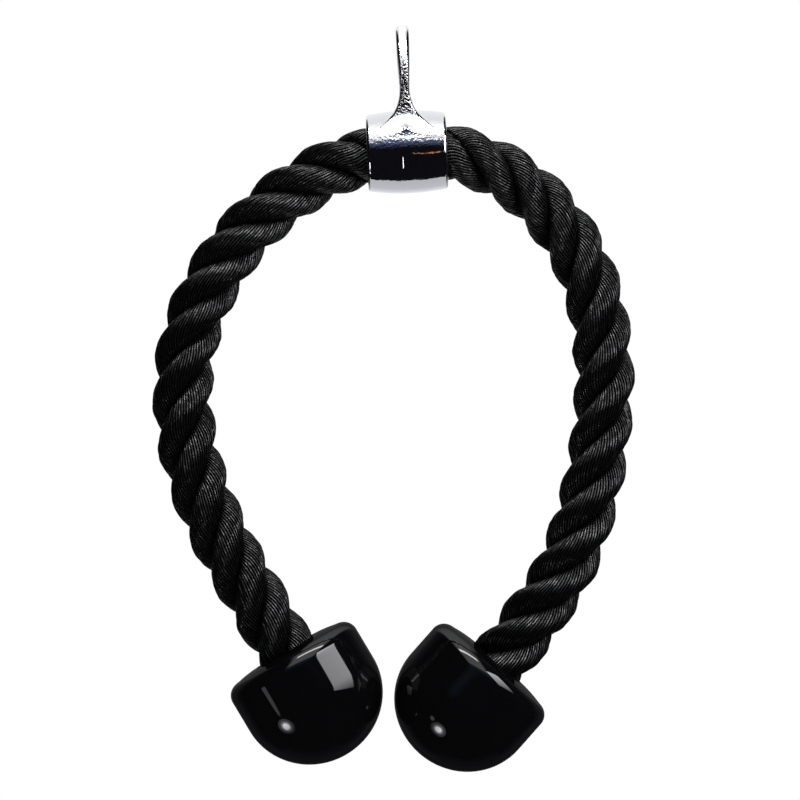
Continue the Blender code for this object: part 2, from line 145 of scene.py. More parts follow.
class Tree:
    """A node tree that gets its nodes through one method."""

    def __init__(self, tree):
        self.tree = tree

    def add(self, kind, settings, sockets, output=0):
        """Add a node with its settings and what its inputs get, and return one of its outputs."""
        node = self.tree.nodes.new(kind)
        for name, value in settings.items():
            if name == "stops":
                stops = node.color_ramp.elements
                stops.remove(stops[1])
                stops[0].position, stops[0].color = value[0][0], (*value[0][1], 1.0)
                for place, colour in value[1:]:
                    stops.new(place).color = (*colour, 1.0)
            else:
                setattr(node, name, value)
        for name, value in sockets.items():
            if isinstance(value, Value):
                self.tree.links.new(value.socket, node.inputs[name])
            else:
                node.inputs[name].default_value = value
        return Value(self.tree, node.outputs[output])

    def link(self, value, socket):
        """Feed a value to an input socket of a node that the tree already has."""
        self.tree.links.new(value.socket, socket)

    def split(self, vector):
        """The X, Y and Z of a vector."""
        return [self.add("ShaderNodeSeparateXYZ", {}, {"Vector": vector}, axis) for axis in "XYZ"]

    def noise(self, where, scale, detail=2.0, roughness=0.5):
        """Smooth random variation from 0 to 1, with `scale` lumps in a metre."""
        sockets = {"Vector": where, "Scale": scale, "Detail": detail, "Roughness": roughness}
        return self.add("ShaderNodeTexNoise", {}, sockets)

    def mix(self, share, first, second):
        """A colour between two, the second where the share is 1.

        The node repeats its sockets for each kind of data, so the colours go by number.
        """
        settings = {"data_type": "RGBA"}
        return self.add("ShaderNodeMix", settings, {"Factor": share, 6: first, 7: second}, output=2)

    def bump(self, height, distance):
        """A normal tilted as if the surface were raised by height times distance, in metres."""
        sockets = {"Height": height, "Distance": distance, "Strength": 1.0}
        return self.add("ShaderNodeBump", {}, sockets)


def material(name):
    """A new material, its tree and its Principled shader."""
    made = bpy.data.materials.new(name)
    made.use_nodes = True
    return made, Tree(made.node_tree), made.node_tree.nodes["Principled BSDF"]


def feed(tree, shader, **inputs):
    """Set or link the shader's inputs. Underscores stand for spaces in their names."""
    for name, value in inputs.items():
        socket = shader.inputs[name.replace("_", " ")]
        if isinstance(value, Value):
            tree.link(value, socket)
        else:
            socket.default_value = value


def layered(tree, shader, gloss_share, matt_colour):
    """Let a material's own shader show by the share given, over a plain matt colour."""
    matt = tree.add("ShaderNodeBsdfDiffuse", {}, {"Color": matt_colour})
    own = Value(tree.tree, shader.outputs[0])
    surface = tree.add("ShaderNodeMixShader", {}, {0: gloss_share, 1: matt, 2: own})
    tree.link(surface, tree.tree.nodes["Material Output"].inputs["Surface"])


def dress(pieces, made):
    """Give the pieces a material, and say how large it has become."""
    for piece in pieces:
        piece.data.materials.clear()
        piece.data.materials.append(made)
    print(made.name, "nodes:", len(made.node_tree.nodes))


# %% [markdown]
# ## Meshes from grids
#
# Every piece below is worked out as whole arrays of points. Rows run along a
# piece and columns run round it, so one formula gives the faces of all of
# them: each point, its neighbour round the ring, and the same two in the next
# ring make one face.

# %% Faces of a tube and of a turned shape
def tube_faces(rows, columns):
    """Faces between neighbouring rings of points, and the two places of each face's corners.

    Face corners are point numbers. The grid places (row, column) come with
    them, where the last column's next is `columns`, not 0, so that a pattern
    can run on round the seam.
    """
    row, column = np.meshgrid(np.arange(rows - 1), np.arange(columns), indexing="ij")
    row = np.stack([row, row, row + 1, row + 1], axis=-1).reshape(-1, 4)
    column = np.stack([column, column + 1, column + 1, column], axis=-1).reshape(-1, 4)
    return row * columns + column % columns, row, column


def cap_faces(hub, ring, outward):
    """A fan of triangles from a hub point to a ring of points."""
    after = np.roll(ring, -1)
    hubs = np.full_like(ring, hub)
    return np.stack([hubs, ring, after] if outward else [hubs, after, ring], axis=-1)


def edge_keys(faces, total):
    """One number for each edge of the faces, whichever way round the edge runs."""
    corners = faces.shape[1]
    edges = np.vstack([faces[:, [a, (a + 1) % corners]] for a in range(corners)])
    return np.sort(edges, axis=1) @ (total, 1)


def add_mesh(name, points, quads, triangles=None):
    """A smooth-shaded object at the origin, with its place in its points.

    Fans close the ends of the grid, and the edges that a fan shares with the
    grid are kept sharp.
    """
    mesh = bpy.data.meshes.new(name)
    faces = quads.tolist() + (triangles.tolist() if triangles is not None else [])
    mesh.from_pydata(points.tolist(), [], faces)
    mesh.shade_smooth()
    if triangles is not None:
        edges = np.empty(2 * len(mesh.edges), dtype=np.int64)
        mesh.edges.foreach_get("vertices", edges)
        keys = np.sort(edges.reshape(-1, 2), axis=1) @ (len(points), 1)
        in_fan, in_grid = (np.isin(keys, edge_keys(f, len(points))) for f in (triangles, quads))
        sharp = mesh.attributes.new("sharp_edge", "BOOLEAN", "EDGE")
        sharp.data.foreach_set("value", in_fan & in_grid)
    piece = bpy.data.objects.new(name, mesh)
    bpy.context.scene.collection.objects.link(piece)
    return piece


# %% [markdown]
# ## The rope's line
#
# The photograph shows the rope from end to end, so its length is the
# photographed one. Points were chosen along the middle of each arm, as
# distances out from the collar and down. A batten bent through them gives
# a line whose curvature never jumps, which is how a stiff rope lies. Inside
# the collar the rope bows up a little, and inside each ball it runs straight.

# %% Route of the rope
COLLAR_LENGTH = 0.0384
COLLAR_AXIS_Z = -0.0530
ROPE_BOW = 0.0015
ROPE_TAIL = 0.0290
LEFT_ROUTE = (
    (0.0000, 0.0000), (0.0227, 0.0076), (0.0430, 0.0200), (0.0613, 0.0363),
    (0.0761, 0.0559), (0.0868, 0.0779), (0.0923, 0.1017), (0.0925, 0.1260),
    (0.0881, 0.1500), (0.0803, 0.1729), (0.0699, 0.1949), (0.0588, 0.2158),
    (0.0485, 0.2356),
)
RIGHT_ROUTE = (
    (0.0000, 0.0000), (0.0229, 0.0082), (0.0420, 0.0232), (0.0568, 0.0430),
    (0.0662, 0.0655), (0.0705, 0.0896), (0.0709, 0.1140), (0.0682, 0.1382),
    (0.0631, 0.1621), (0.0556, 0.1854), (0.0448, 0.2074), (0.0303, 0.2270),
    (0.0148, 0.2456),
)
BALL_TILT = {"left": math.radians(-28.5), "right": math.radians(43.8)}
SIDE = {"left": -1.0, "right": 1.0}
SAMPLES_PER_SPAN = 24


def step_lengths(points):
    """Distance from each point to the next."""
    return np.linalg.norm(np.diff(points, axis=0), axis=1)


def batten(points, first, last):
    """Many points on a smooth curve through the given ones, with its directions at the ends.

    Each span is the cubic (1 + 2t)(1 - t)^2 a + t(1 - t)^2 w m
    + t^2(3 - 2t) b + t^2(t - 1) w n, where a and b are its end points, m and n
    the slopes there and w its chord. The slopes solve the linear system that
    makes the curvature agree where two spans meet.
    """
    points = np.array(points)
    chord = step_lengths(points)
    before, after = chord[:-1, None], chord[1:, None]
    inner = np.arange(1, len(points) - 1)
    system = np.eye(len(points))
    system[inner, inner - 1] = after[:, 0]
    system[inner, inner] = 2.0 * (before + after)[:, 0]
    system[inner, inner + 1] = before[:, 0]
    target = np.zeros_like(points)
    target[0], target[-1] = first, last
    rise = np.diff(points, axis=0)
    target[inner] = 3.0 * (after / before * rise[:-1] + before / after * rise[1:])
    slope = np.linalg.solve(system, target)
    t = np.linspace(0.0, 1.0, SAMPLES_PER_SPAN, endpoint=False)[None, :, None]
    width = chord[:, None, None]
    start, stop = points[:-1, None], points[1:, None]
    leave, arrive = slope[:-1, None], slope[1:, None]
    curve = ((1 + 2 * t) * (1 - t) ** 2 * start + t * (1 - t) ** 2 * width * leave
             + t ** 2 * (3 - 2 * t) * stop + t ** 2 * (t - 1) * width * arrive)
    return np.vstack([curve.reshape(-1, 2), points[-1:]])


def arm_line(route, side, tilt):
    """World points of one arm's middle line, from the collar's mouth to the rope's end."""
    bow_end = np.array([COLLAR_LENGTH / 2, 2.0 * ROPE_BOW])
    ball_axis = np.array([-side * math.sin(tilt), math.cos(tilt)])
    flat = batten(route, bow_end / np.linalg.norm(bow_end), ball_axis)
    out, down = np.vstack([flat, flat[-1] + ROPE_TAIL * ball_axis]).T
    across = side * (COLLAR_LENGTH / 2 + out)
    return np.stack([across, 0.0 * out, COLLAR_AXIS_Z - ROPE_BOW - down], axis=1)


left_arm = arm_line(LEFT_ROUTE, SIDE["left"], BALL_TILT["left"])[::-1]
right_arm = arm_line(RIGHT_ROUTE, SIDE["right"], BALL_TILT["right"])
share = np.linspace(-1.0, 1.0, SAMPLES_PER_SPAN + 1)[1:-1]
in_collar = np.stack(
    [share * COLLAR_LENGTH / 2, 0.0 * share, COLLAR_AXIS_Z - ROPE_BOW * share ** 2], axis=1)
rope_line = np.vstack([left_arm, in_collar, right_arm])

# %% Distance along the rope
# It is counted from the collar's middle: negative to the left, positive to the right.
travelled = np.concatenate([[0.0], np.cumsum(step_lengths(rope_line))])
left_mouth = travelled[len(left_arm) - 1]
right_mouth = travelled[len(left_arm) + len(in_collar)]
rope_distance = travelled - (left_mouth + right_mouth) / 2
HALF_IN_COLLAR = (right_mouth - left_mouth) / 2
ROPE_END = {"left": rope_distance[0], "right": rope_distance[-1]}
BALL_MOUTH = {name: ROPE_END[name] - SIDE[name] * ROPE_TAIL for name in SIDE}
HEADING_REACH = 0.0005


def rope_at(distance):
    """World point of the rope's middle at a distance along it."""
    return np.stack([np.interp(distance, rope_distance, axis) for axis in rope_line.T], axis=-1)


def rope_heading(distance):
    """Unit direction of the rope, from the left ball towards the right."""
    ahead = rope_at(np.minimum(distance + HEADING_REACH, rope_distance[-1]))
    behind = rope_at(np.maximum(distance - HEADING_REACH, rope_distance[0]))
    heading = ahead - behind
    return heading / np.linalg.norm(heading, axis=-1, keepdims=True)


print("rope from end to end, m:", round(travelled[-1], 4))

# %% [markdown]
# ## Strands and yarns
#
# A laid rope is three strands twisted round each other, and each strand is a
# bundle of yarns twisted the other way, which is why the yarns on the outside
# lie almost straight along the rope. A strand is round outside and flattened
# where it leans on its neighbours. The mesh's columns follow the yarns, four
# to a yarn, so few points already give each yarn its own round back and the
# dark gap beside it. Small slow waves in height keep the yarns from looking
# like machined threads.

# %% Section of a strand
ROPE_RADIUS = 0.0142
END_FULLNESS = 0.0010
PRESS_DEPTH = 0.0007
STRAND_BITE = 0.0024
PRESSED_STRAND_BITE = 0.0070
LAY_LENGTH = 0.068
LAY_PHASE = math.radians(47.0)
SWELL_LENGTH = 0.012
FERRULE_DEPTH = 0.0140
STRANDS = 3
NEIGHBOUR_ANGLE = math.pi / STRANDS
STRAND_GAP = 0.00005
LIP_ROUND = 0.0014
NO_FLAT = 1.0
LEAST_FACING = 0.05


def smooth_step(value, start, stop):
    """0 before start, 1 after stop, and an even S between: 3t^2 - 2t^3."""
    t = np.clip((value - start) / (stop - start), 0.0, 1.0)
    return t * t * (3.0 - 2.0 * t)


def squeeze(distance):
    """1 where the collar or a ferrule presses the rope, 0 where it is free."""
    in_collar = 1.0 - smooth_step(np.abs(distance) - HALF_IN_COLLAR, 0.0, SWELL_LENGTH)
    depth = np.maximum(distance - BALL_MOUTH["right"], BALL_MOUTH["left"] - distance)
    return np.maximum(in_collar, smooth_step(depth, FERRULE_DEPTH - SWELL_LENGTH, FERRULE_DEPTH))


def strand_size(distance):
    """How far a strand's middle is from the rope's, and the strand's radius.

    Two round strands at 60 degrees to the line between them overlap by the
    bite: radius = (rope radius * sin 60 + bite) / (1 + sin 60).
    """
    mouth = np.where(distance > 0.0, BALL_MOUTH["right"], -BALL_MOUTH["left"])
    along = np.clip((np.abs(distance) - HALF_IN_COLLAR) / (mouth - HALF_IN_COLLAR), 0.0, 1.0)
    free = ROPE_RADIUS + END_FULLNESS * along
    pressed = squeeze(distance)
    outer = free + pressed * (ROPE_RADIUS - PRESS_DEPTH - free)
    bite = STRAND_BITE + pressed * (PRESSED_STRAND_BITE - STRAND_BITE)
    sine = math.sin(NEIGHBOUR_ANGLE)
    radius = (outer * sine + bite) / (1.0 + sine)
    return outer - radius, radius


def strand_skin(angle, pitch, radius):
    """Distance from a strand's middle to its skin, at an angle from straight outwards.

    It is the smaller of two: the strand's own radius, and the distance
    pitch * tan 60 / (|sin a| - tan 60 * cos a) to the flat where it meets its
    neighbour. An angle that hardly faces the flat never reaches it. The lip
    between the two is rounded with a polynomial minimum.
    """
    slope = math.tan(NEIGHBOUR_ANGLE)
    facing = np.abs(np.sin(angle)) - slope * np.cos(angle)
    reach = pitch * slope / np.maximum(facing, LEAST_FACING)
    flat = np.where(facing > LEAST_FACING, reach, NO_FLAT) - STRAND_GAP
    share = np.clip(0.5 + 0.5 * (flat - radius) / LIP_ROUND, 0.0, 1.0)
    return flat + share * (radius - flat) - LIP_ROUND * share * (1.0 - share)


print("lay length, mm:", LAY_LENGTH * 1000, " strand radius, mm:",
      round(float(strand_size(np.array(0.15))[1]) * 1000, 2))

# %% Rope surface
YARNS = 38
COLUMNS_PER_YARN = 4
YARN_TWIST_LENGTH = 0.0400
YARN_RELIEF = 0.00040
YARN_SHARPNESS = 1.2
YARN_LIFT = 0.00024
YARN_WAVES = ((0.0240, 0.00014), (0.0097, 0.00010))
RING_STEP = 0.00125
YARN_WIDTH = 0.0013


def yarn_height(distance, yarn, within, dice):
    """Height of the skin over the strand's round form.

    Across a yarn it is -relief * (1 - sin)^sharpness, so a round back between
    sharp gaps. A random lift sets each yarn a little higher or lower than the
    next, and slow sine waves along it come on top.
    """
    back = -YARN_RELIEF * (1.0 - np.sin(math.pi * within)) ** YARN_SHARPNESS
    lift = YARN_LIFT * (0.5 - dice.random(YARNS)[yarn])
    for length, height in YARN_WAVES:
        phase = 2.0 * math.pi * dice.random(YARNS)[yarn]
        lift = lift + height * np.sin(2.0 * math.pi * distance / length + phase)
    return back + lift


def rope_stretch(name, start, stop):
    """A stretch of the rope as three closed strands.

    A section is a complex number: (pitch + skin * e^(i angle)) * e^(i turn)
    places a point of a strand, its real part along the section's first axis
    and its imaginary part along Y. The turn grows with the distance, and the
    angle shrinks with it, because the yarns are twisted the other way.
    """
    start, stop = min(start, stop), max(start, stop)
    rings = round((stop - start) / RING_STEP) + 1
    distance = np.linspace(start, stop, rings)[:, None]
    centre, heading = rope_at(distance[:, 0]), rope_heading(distance[:, 0])
    across = np.cross((0.0, 1.0, 0.0), heading)
    columns = YARNS * COLUMNS_PER_YARN
    column = np.arange(columns)[None, :]
    angle = 2.0 * math.pi * (column / columns - distance / YARN_TWIST_LENGTH)
    pitch, radius = strand_size(distance)
    points, quads, caps, places = [], [], [], []
    for strand in range(STRANDS):
        dice = np.random.default_rng(strand)
        height = yarn_height(distance, column // COLUMNS_PER_YARN,
                             column % COLUMNS_PER_YARN / COLUMNS_PER_YARN, dice)
        turn = LAY_PHASE + 2.0 * math.pi * (distance / LAY_LENGTH + strand / STRANDS)
        skin = strand_skin(angle, pitch, radius) + height
        section = np.hstack([pitch + skin * np.exp(1j * angle), pitch + 0j]) * np.exp(1j * turn)
        laid = (centre[:, None] + section.real[..., None] * across[:, None]
                + section.imag[..., None] * np.array([0.0, 1.0, 0.0]))
        first = strand * (rings * columns + 2)
        points += [laid[:, :-1].reshape(-1, 3), laid[[0, -1], -1]]
        faces, row, across_column = tube_faces(rings, columns)
        quads.append(faces + first)
        places.append(np.stack([across_column / COLUMNS_PER_YARN + strand * YARNS,
                                distance[row, 0] / YARN_WIDTH], axis=-1))
        hub = first + rings * columns
        rim = first + np.arange(columns)
        caps += [cap_faces(hub, rim, outward=False),
                 cap_faces(hub + 1, rim + (rings - 1) * columns, outward=True)]
    piece = add_mesh(name, np.vstack(points), np.vstack(quads), np.vstack(caps))
    pattern = np.zeros((len(piece.data.loops), 2))
    pattern[:4 * sum(len(q) for q in quads)] = np.vstack(places).reshape(-1, 2)
    piece.data.uv_layers.new(name="yarns").data.foreach_set("uv", pattern.ravel())
    return piece


# %% [markdown]
# ## One rope in seven stretches
#
# The rope flexes at three places on each arm: where it leaves the collar, a
# little further out, and halfway down. Each arm is three stretches, and each
# stretch has one of these places in its middle. The stretch inside the collar
# rides on the fitting.

# %% Stretches of rope
CORE_SPLIT = -0.0080
ROOT_SPLIT = 0.0100
UPPER_SPLIT = 0.0670
SWING_BLEND = (-0.0060, 0.0080)
SPREAD_BLEND = (0.0165, 0.0600)
BEND_BLEND = (0.0800, 0.1900)


def rope_point(name, out):
    """World point on an arm's middle line, so far out from the collar's mouth."""
    return rope_at(SIDE[name] * (HALF_IN_COLLAR + out)).tolist()


half_core = HALF_IN_COLLAR + CORE_SPLIT
rope_pieces = {"core": rope_stretch("rope_core", -half_core, half_core)}
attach(rope_pieces["core"], "fitting")
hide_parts("rope_in_collar")

for name, side in SIDE.items():
    tail = abs(ROPE_END[name]) - HALF_IN_COLLAR
    spans = {
        "root": (CORE_SPLIT, ROOT_SPLIT, "fitting", name + "_root", SWING_BLEND),
        "upper": (ROOT_SPLIT, UPPER_SPLIT, name + "_root", name + "_upper", SPREAD_BLEND),
        "lower": (UPPER_SPLIT, tail, name + "_upper", name + "_lower", BEND_BLEND),
    }
    for part, (start, stop, near, far, blend) in spans.items():
        mouth = side * HALF_IN_COLLAR
        piece = rope_stretch(f"laid_rope_{name}_{part}", mouth + side * start, mouth + side * stop)
        rope_point(name, blend[0])
        rope_point(name, blend[1])
        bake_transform(piece)
        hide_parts(f"rope_{name}_{part}")
        rope_pieces[f"{name}_{part}"] = piece
print("rope faces:", sum(len(piece.data.polygons) for piece in rope_pieces.values()))

# %% [markdown]
# ## Black nylon
#
# Each yarn is a bundle of fine nylon filaments, dyed black. The dye leaves
# almost no colour, and what the eye sees is a soft gloss along the yarns'
# backs, broken up because the filaments wander: here a yarn catches the
# light, a little further on it looks dull. Deep between two yarns no light
# comes back at all, and that shade is painted: off the yarns' backs the
# gloss gives way to matt black, as it does in the dull patches. The pattern
# follows the rope's own map: the first number counts yarns, the second runs
# along them.

# %% Pattern along the yarns
FILAMENTS_PER_YARN = 5.0
FILAMENT_LEAN = 0.9
FILAMENT_RATE = 0.4
STREAK_RATE = 0.32
YARNS_APART = 3.7
YARN_BACK = (0.76, 0.38)

nylon, tree, shader = material("black_nylon")
around, along, _ = tree.split(tree.add("ShaderNodeUVMap", {"uv_map": "yarns"}, {}))


def yarn_noise(across, lengthwise):
    """Noise on the rope's own map, from its counts across and along the yarns."""
    where = tree.add("ShaderNodeCombineXYZ", {}, {"X": across, "Y": lengthwise, "Z": 0.0})
    return tree.noise(where, 1.0, detail=1.0)


filaments = yarn_noise(around * FILAMENTS_PER_YARN + along * FILAMENT_LEAN, along * FILAMENT_RATE)
streaks = yarn_noise(around.math("FLOOR") * YARNS_APART, along * STREAK_RATE)
back = (around.math("FRACT") * math.pi).math("SINE")
on_back = back.above(*YARN_BACK)
print("yarns round the rope:", STRANDS * YARNS)

# %% Rope material
NYLON_DYES = ((0.0010, 0.0010, 0.0012, 1.0), (0.0050, 0.0050, 0.0055, 1.0))
# Matt black for the painted shade between the yarns and for the dull patches along them.
NYLON_DULL_AND_GAP_SHADE = (0.0008, 0.0008, 0.0010, 1.0)
NYLON_IOR = 1.90
NYLON_ROUGHNESS = 0.40
GLINT = (0.56, 0.24)
GLINT_POLISH = 0.27
LIT = (0.50, 0.26)
DULL_GLOSS = 0.36
GAP_GLOSS = 0.04
BACK_HEIGHT = 0.8
FILAMENT_HEIGHT = 0.35
NYLON_RELIEF = 0.00030

feed(tree, shader, Base_Color=tree.mix(streaks, *NYLON_DYES), IOR=NYLON_IOR,
     Roughness=NYLON_ROUGHNESS - streaks.above(*GLINT) * GLINT_POLISH,
     Normal=tree.bump(back.math("SQRT") * BACK_HEIGHT + filaments * FILAMENT_HEIGHT, NYLON_RELIEF))
# Painted shade: between the yarns' backs the gloss gives way to matt black.
yarn_gloss = on_back * (1.0 - GAP_GLOSS) + GAP_GLOSS
patch_gloss = streaks.above(*LIT) * (1.0 - DULL_GLOSS) + DULL_GLOSS
layered(tree, shader, yarn_gloss * patch_gloss, NYLON_DULL_AND_GAP_SHADE)
dress(rope_pieces.values(), nylon)

# %% [markdown]
# ## The cast eye and collar
#
# The collar and its eye are one casting, with a generous hollow where they
# meet, so it can't be made from two grids laid side by side. A formula does
# it: a field that is negative inside the metal and positive outside, put
# together from a few plain fields. Taking the larger of two cuts one with the
# other, taking the smaller joins them, and both can round their edge as a
# mould maker would. The skin is wherever the field is zero.

# %% Field of the casting
COLLAR_RADIUS = 0.0184
COLLAR_BELLY = 0.0014
COLLAR_BORE = 0.0138
COLLAR_RIM_ROUND = 0.0018
COLLAR_MOUTH_ROUND = 0.0012
EYE_HEIGHT = 0.0410
EYE_HOLE_RADIUS = 0.0120
EYE_RADIUS = 0.0196
EYE_EDGE_ROUND = 0.0017
EYE_CROWN_THICKNESS = 0.0068
EYE_NECK_THICKNESS = 0.0050
WEB_HOLLOW_RADIUS = 0.0180
WEB_FLARE_RADIUS = 0.0230
WEB_FLARE_DROP = 0.0115
JUNCTION_ROUND = 0.0020
EYE_FACE_CROWN = 0.0003
FOOT_SHARPNESS = 0.45
FOOT_OVERLAP = 0.2
FLARE_END = 0.98


def cut(first, second, rounding):
    """Both fields at once: the larger, with the edge where they meet rounded.

    Outside the edge it is the distance to the centre of the rounding, less
    the rounding: min(-r, max(a, b)) + length(max(a + r, 0), max(b + r, 0)).
    """
    a, b = np.maximum(first + rounding, 0.0), np.maximum(second + rounding, 0.0)
    return np.minimum(-rounding, np.maximum(first, second)) + np.hypot(a, b)


def join(first, second, rounding):
    """Either field: the smaller, with the corner where they meet filled by the same rounding."""
    a, b = np.maximum(rounding - first, 0.0), np.maximum(rounding - second, 0.0)
    return np.maximum(rounding, np.minimum(first, second)) - np.hypot(a, b)


def eye_half_thickness(height):
    """Half the thickness along X, and how fast it grows downwards.

    It thins evenly from the crown to the neck and flares on an arc below it,
    so it grows there at fall / sqrt(R^2 - fall^2).
    """
    crown, neck = EYE_HEIGHT + EYE_RADIUS, EYE_HEIGHT - WEB_FLARE_DROP
    part = np.clip((height - neck) / (crown - neck), 0.0, 1.0)
    straight = EYE_NECK_THICKNESS + part * (EYE_CROWN_THICKNESS - EYE_NECK_THICKNESS)
    fall = np.clip(neck - height, 0.0, WEB_FLARE_RADIUS * FLARE_END)
    rest = np.sqrt(WEB_FLARE_RADIUS ** 2 - fall ** 2)
    return straight / 2 + WEB_FLARE_RADIUS - rest, fall / rest


def eye_side_field(y, height, drum_radius):
    """The ring and its web seen along X, with circles hollowing the web at both sides.

    Each circle touches the ring and the drum, so its centre is `out` from the
    middle and `lift` above the collar's axis. The web ends in the collar's
    wall, by the overlap's share of it.
    """
    ring = np.hypot(y, height - EYE_HEIGHT) - EYE_RADIUS
    to_collar = drum_radius + WEB_HOLLOW_RADIUS
    to_ring = EYE_RADIUS + WEB_HOLLOW_RADIUS
    lift = (to_collar ** 2 - to_ring ** 2 + EYE_HEIGHT ** 2) / (2.0 * EYE_HEIGHT)
    out = np.sqrt(to_collar ** 2 - lift ** 2)
    hollow = WEB_HOLLOW_RADIUS - np.hypot(np.abs(y) - out, height - lift)
    ring_touch = EYE_HEIGHT + EYE_RADIUS * (lift - EYE_HEIGHT) / to_ring
    collar_touch = lift * (1.0 - WEB_HOLLOW_RADIUS / to_collar)
    touch_y = out * (1.0 - WEB_HOLLOW_RADIUS / to_collar)
    ring_y = out * EYE_RADIUS / to_ring
    chord = touch_y + (ring_y - touch_y) * (height - collar_touch) / (ring_touch - collar_touch)
    foot = collar_touch - FOOT_OVERLAP * (COLLAR_RADIUS - COLLAR_BORE)
    web = np.maximum.reduce([hollow, np.abs(y) - chord, foot - height, height - ring_touch])
    return np.maximum(np.minimum(ring, web), EYE_HOLE_RADIUS - np.hypot(y, height - EYE_HEIGHT))


def casting_field(points):
    """Negative inside the casting, zero on its skin, for points (x, y, z)."""
    x, y, height = points[:, 0], points[:, 1], points[:, 2] - COLLAR_AXIS_Z
    across = np.hypot(y, height)
    end = np.abs(x) - COLLAR_LENGTH / 2
    share = np.clip(x / (COLLAR_LENGTH / 2 - COLLAR_RIM_ROUND), -1.0, 1.0)
    barrel = COLLAR_RADIUS + COLLAR_BELLY * (1.0 - share ** 2)
    drum = cut(across - barrel, end, COLLAR_RIM_ROUND)
    half, growth = eye_half_thickness(height)
    crown = EYE_FACE_CROWN * np.minimum(np.abs(x) / half, 1.0) ** 2
    face = eye_side_field(y, height, barrel) + crown * (EYE_NECK_THICKNESS / 2 / half)
    flank = join(drum, (np.abs(x) - half) / np.hypot(1.0, growth), JUNCTION_ROUND)
    rounding = EYE_EDGE_ROUND * (1.0 - FOOT_SHARPNESS * np.minimum(growth, 1.0))
    metal = np.minimum(drum, cut(face, flank, rounding))
    bore = COLLAR_BORE + ROPE_BOW * np.clip(x / (COLLAR_LENGTH / 2), -1.0, 1.0) ** 2
    return cut(metal, bore - across, COLLAR_MOUTH_ROUND)


# %% [markdown]
# ## From a field to a skin
#
# The space round the casting is cut into small cubes. Where the field changes
# sign along a cube's edge, the skin crosses that edge. A cube with crossings
# gets one point, at their mean, and each crossed edge gets one face through
# the four cubes round it. A few steps down the field's slope then put every
# point exactly on the skin, which chrome needs, because its reflections show
# the smallest step.

# %% Skin of a field
SLOPE_REACH = 1e-5
LEAST_SQUARED_SLOPE = 0.25


def zero_skin(field, low, high, step):
    """Points and faces of the surface where a field is zero inside a box."""
    axes = [np.arange(a, b, step) for a, b in zip(low, high)]
    grid = np.stack(np.meshgrid(*axes, indexing="ij"), axis=-1)
    value = field(grid.reshape(-1, 3)).reshape(grid.shape[:3])
    cubes = tuple(n - 1 for n in value.shape)
    total, count = np.zeros((*cubes, 3)), np.zeros(cubes)
    crossings = []
    for axis in range(3):
        near = np.moveaxis(value, axis, 0)[:-1]
        far = np.moveaxis(value, axis, 0)[1:]
        crossed = (near < 0.0) != (far < 0.0)
        place = np.moveaxis(grid, axis, 0)[:-1].copy()
        place[..., axis] += step * np.where(crossed, near / np.where(crossed, near - far, 1.0), 0.0)
        place, crossed = np.moveaxis(place, 0, axis), np.moveaxis(crossed, 0, axis)
        first, second = (axis + 1) % 3, (axis + 2) % 3
        for a in (0, 1):
            for b in (0, 1):
                window = [slice(None)] * 3
                window[first] = slice(a, a + cubes[first])
                window[second] = slice(b, b + cubes[second])
                hit = crossed[tuple(window)]
                total += place[tuple(window)] * hit[..., None]
                count += hit
        crossings.append((axis, first, second, crossed, np.moveaxis(near < 0.0, 0, axis)))
    number = np.full(cubes, -1)
    number[count > 0] = np.arange(np.count_nonzero(count))
    points = total[count > 0] / count[count > 0][:, None]
    faces = []
    for axis, first, second, crossed, inside in crossings:
        edge = np.argwhere(crossed)
        outward = inside[crossed]
        corners = []
        for a, b in ((1, 1), (0, 1), (0, 0), (1, 0)):
            cube = edge.copy()
            cube[:, first] -= a
            cube[:, second] -= b
            corners.append(number[tuple(cube.T)])
        quad = np.stack(corners, axis=-1)
        faces.append(np.where(outward[:, None], quad, quad[:, ::-1]))
    return points, np.vstack(faces)


def slope_of(field, points):
    """The field's gradient at points, from differences over a small reach."""
    rises = [field(points + shift) - field(points - shift) for shift in SLOPE_REACH * np.eye(3)]
    return np.stack(rises, axis=-1) / (2 * SLOPE_REACH)


def settle(field, points, steps, longest):
    """Points moved onto the skin: each step is field * slope / |slope|^2, no longer than given."""
    for _ in range(steps):
        slope = slope_of(field, points)
        square = np.maximum((slope ** 2).sum(axis=1, keepdims=True), LEAST_SQUARED_SLOPE)
        move = field(points)[:, None] * slope / square
        points = points - np.clip(move, -longest, longest)
    return points


# %% Casting
SKIN_STEP = 0.00045
MARGIN = 0.0012
low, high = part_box("collar_eye")
points, faces = zero_skin(casting_field, np.array(low) - MARGIN, np.array(high) + MARGIN, SKIN_STEP)
points = settle(casting_field, points, steps=3, longest=SKIN_STEP / 2)
casting = add_mesh("chrome_casting", points, faces)
normals = slope_of(casting_field, points)
normals /= np.linalg.norm(normals, axis=1, keepdims=True)
casting.data.normals_split_custom_set_from_vertices(normals.tolist())
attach(casting, "fitting")
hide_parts("collar_eye")
print("casting faces:", len(faces))

# %% [markdown]
# ## Chrome
#
# Chrome has hardly any colour of its own. What makes it look like a plated
# casting, and not like a mirror, is the casting under the plate: it is well
# polished where a wheel reaches, and keeps its orange peel on the web's edge
# and round the web's foot. Along the corner between the web and the collar a
# thin dark line of shade is painted into the colour. Masks on Object
# coordinates say where each is. A mask is 1 in its own band and fades out at
# both sides.

# %% Where the casting is rough
WEB_ROUGH = ((-0.0335, -0.0080), (0.0090, 0.0200))
WEB_ROUGH_INSET = 0.0003
WEB_ROUGH_EDGE = 0.0008
FOOT_ROUGH = ((-0.0505, -0.0405), (0.0060, 0.0040))
# Band of the painted dark shade line in the corner between the web and the collar.
CREASE = ((-0.0430, -0.0350), (0.0012, 0.0030))
CREASE_OUT = 0.0001
CREASE_HALF_WIDTH = 0.00034
CREASE_EDGE = 0.00024
LEAST_SQUARED_REST = 1e-8

